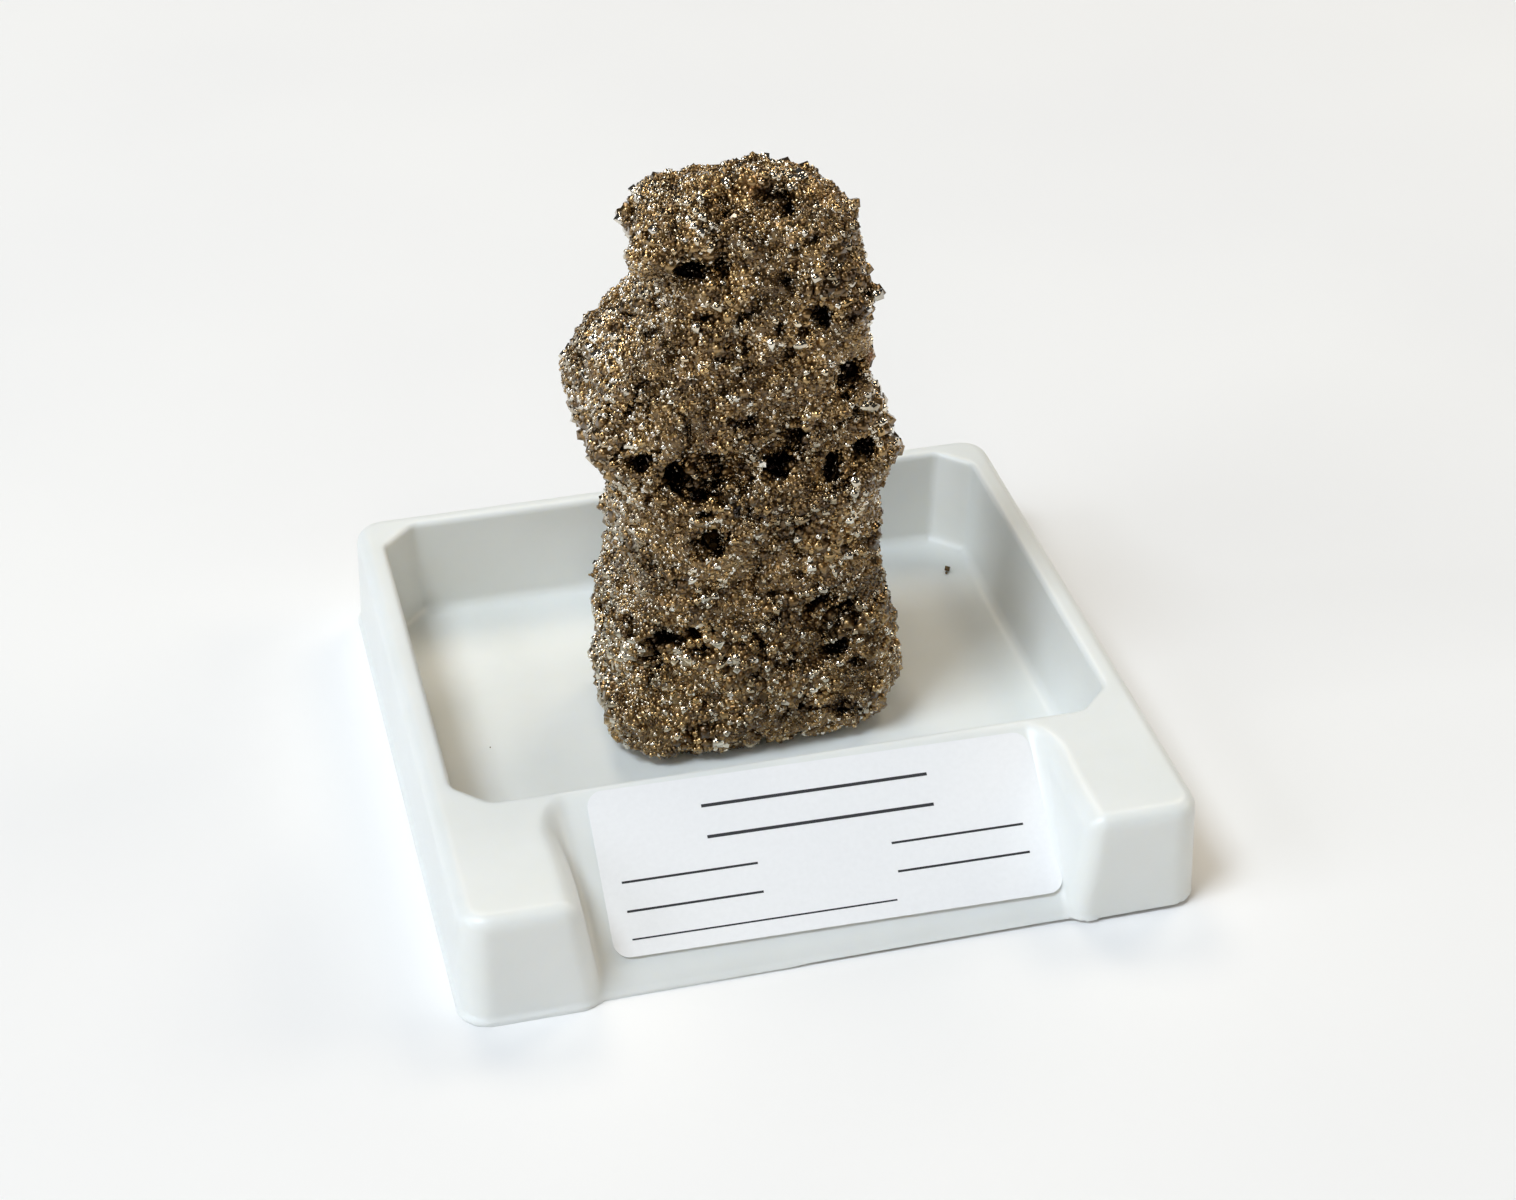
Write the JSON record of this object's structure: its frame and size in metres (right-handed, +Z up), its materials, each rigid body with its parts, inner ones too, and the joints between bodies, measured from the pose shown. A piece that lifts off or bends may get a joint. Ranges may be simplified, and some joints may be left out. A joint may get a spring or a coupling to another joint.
{
  "type": "pyrite specimen in a display tray",
  "caption": "Upright block of fine-grained pyrite standing in the well of a low white plastic display tray with a sloped label ramp at its front.",
  "frame": {"origin": "on the surface that the tray stands on, under the middle of the tray's box", "axes": "+Z up, +X to the right along the tray's front edge, +Y to the back"},
  "size_m": [0.11, 0.1088, 0.0963],
  "materials": {
    "pyrite": "rough aggregate of tiny metallic crystals, dark olive brown with bright glints, black pits and a few rust stains",
    "tray_plastic": "formed polystyrene sheet, cool white, satin gloss",
    "label_paper": "smooth white label paper, bare"
  },
  "bodies": {
    "root": {"pyrite": "pyrite", "tray": "tray_plastic", "label": "label_paper"}
  },
  "joints": []
}
